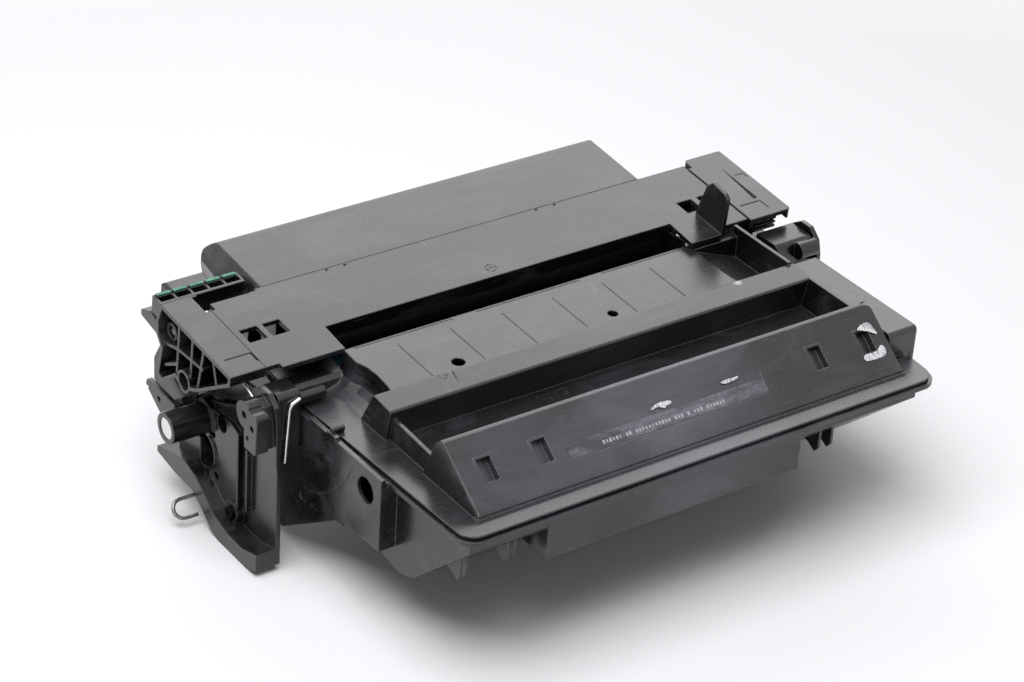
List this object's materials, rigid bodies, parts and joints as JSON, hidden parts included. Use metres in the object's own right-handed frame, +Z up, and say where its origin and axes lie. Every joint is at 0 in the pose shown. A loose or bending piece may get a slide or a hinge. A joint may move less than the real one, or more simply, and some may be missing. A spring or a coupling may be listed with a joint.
{
  "type": "toner cartridge",
  "caption": "Long black printer toner and drum cartridge: ridged hopper lid, slotted drum unit with rear waste bin, and end plates with guide hubs.",
  "frame": {"origin": "middle of the footprint of the whole cartridge, on the surface it stands on", "axes": "+X along the cartridge towards the drive end, +Y from the hopper's front edge towards the waste bin, +Z up"},
  "size_m": [0.379, 0.2548, 0.1276],
  "materials": {
    "black_shell": "satin black moulded",
    "black_end": "fine matt black moulded",
    "gear_white": "natural white moulded",
    "drum_coat": "gloss blue-green coating on a metal tube",
    "sleeve_metal": "dark blasted",
    "magnet": "sintered",
    "steel": "bright plated",
    "rubber_dark": "smooth dark",
    "rubber_amber": "smooth amber",
    "film": "thin smoky film",
    "label": "grey printed strip, left bare",
    "green": "pale green moulded"
  },
  "bodies": {
    "drum_unit": {"unit_frame": "black_shell", "charge_saddle_left": "black_end", "charge_saddle_right": "black_end", "charge_spring_left": "steel", "charge_spring_right": "steel", "wiper_bracket": "steel", "wiper_edge": "rubber_amber", "waste_bin": "black_shell", "recovery_film": "film", "left_cap": "black_shell", "cap_pin": "steel", "right_cap": "black_shell", "left_end_plate": "black_end", "right_end_plate": "black_end", "hinge_cap": "black_end", "hinge_pin_left": "steel", "hinge_pin_right": "steel", "drum_pin": "steel", "plate_screw_left": "steel", "plate_screw_right": "steel", "left_rear_frame": "black_shell", "green_strip": "green"},
    "hopper": {"hopper_lid": "black_shell", "label_strip": "label", "hopper_tub": "black_shell", "roller_bush_left": "black_end", "roller_bush_right": "black_end", "magnet_core": "magnet", "magnet_clamp": "black_end", "doctor_bracket": "steel", "doctor_edge": "rubber_dark", "hinge_saddle_left": "black_end", "hinge_saddle_right": "black_end", "saddle_wire": "steel", "gear_cover": "black_shell"},
    "drum": {"drum_tube": "drum_coat", "drum_bush": "black_end", "drum_gear": "gear_white"},
    "developer": {"developer_sleeve": "sleeve_metal", "developer_gear": "gear_white"},
    "idler_a": {"idler_gear_a": "gear_white"},
    "idler_b": {"idler_gear_b": "gear_white"},
    "agitator_front": {"front_agitator": "gear_white", "front_agitator_gear": "gear_white"},
    "agitator_rear": {"rear_agitator": "gear_white", "rear_agitator_gear": "gear_white"},
    "charge_roller": {"charge_core": "steel", "charge_rubber": "rubber_dark"},
    "shutter": {"drum_shutter": "black_end", "shutter_rod": "steel"}
  },
  "joints": [
    {"name": "drum_spin", "type": "hinge", "parent": "drum_unit", "child": "drum", "pos_m": [-0.0075, 0.05922, 0.055], "axis": [1, 0, 0], "continuous": true},
    {"name": "developer_spin", "type": "hinge", "parent": "hopper", "child": "developer", "pos_m": [-0.0075, 0.03616, 0.04997], "axis": [1, 0, 0], "continuous": true},
    {"name": "idler_a_spin", "type": "hinge", "parent": "hopper", "child": "idler_a", "pos_m": [0.1405, 0.01573, 0.05701], "axis": [1, 0, 0], "continuous": true},
    {"name": "rear_agitator_spin", "type": "hinge", "parent": "hopper", "child": "agitator_rear", "pos_m": [-0.0075, -0.01299, 0.05901], "axis": [1, 0, 0], "continuous": true},
    {"name": "idler_b_spin", "type": "hinge", "parent": "hopper", "child": "idler_b", "pos_m": [0.1405, -0.04258, 0.06005], "axis": [1, 0, 0], "continuous": true},
    {"name": "front_agitator_spin", "type": "hinge", "parent": "hopper", "child": "agitator_front", "pos_m": [-0.0075, -0.07216, 0.05901], "axis": [1, 0, 0], "continuous": true},
    {"name": "charge_roller_spin", "type": "hinge", "parent": "drum_unit", "child": "charge_roller", "pos_m": [-0.0075, 0.06292, 0.07603], "axis": [1, 0, 0], "continuous": true},
    {"name": "hopper_hinge", "type": "hinge", "parent": "drum_unit", "child": "hopper", "pos_m": [-0.0075, 0.00852, 0.087], "axis": [-1, 0, 0], "range_deg": [0, 3]},
    {"name": "shutter_swing", "type": "hinge", "parent": "drum_unit", "child": "shutter", "pos_m": [-0.0075, 0.05722, 0.012], "axis": [-1, 0, 0], "range_deg": [0, 55], "stiffness_Nm_per_rad": 0.05, "springref_deg": -34.38}
  ],
  "couplings": [
    {"joint": "developer_spin", "follows": "drum_spin", "ratio": -1.95},
    {"joint": "idler_a_spin", "follows": "drum_spin", "ratio": 1.1471},
    {"joint": "rear_agitator_spin", "follows": "drum_spin", "ratio": -1.0263},
    {"joint": "idler_b_spin", "follows": "drum_spin", "ratio": 1.0833},
    {"joint": "front_agitator_spin", "follows": "drum_spin", "ratio": -1.0263},
    {"joint": "charge_roller_spin", "follows": "drum_spin", "ratio": -2.5}
  ]
}
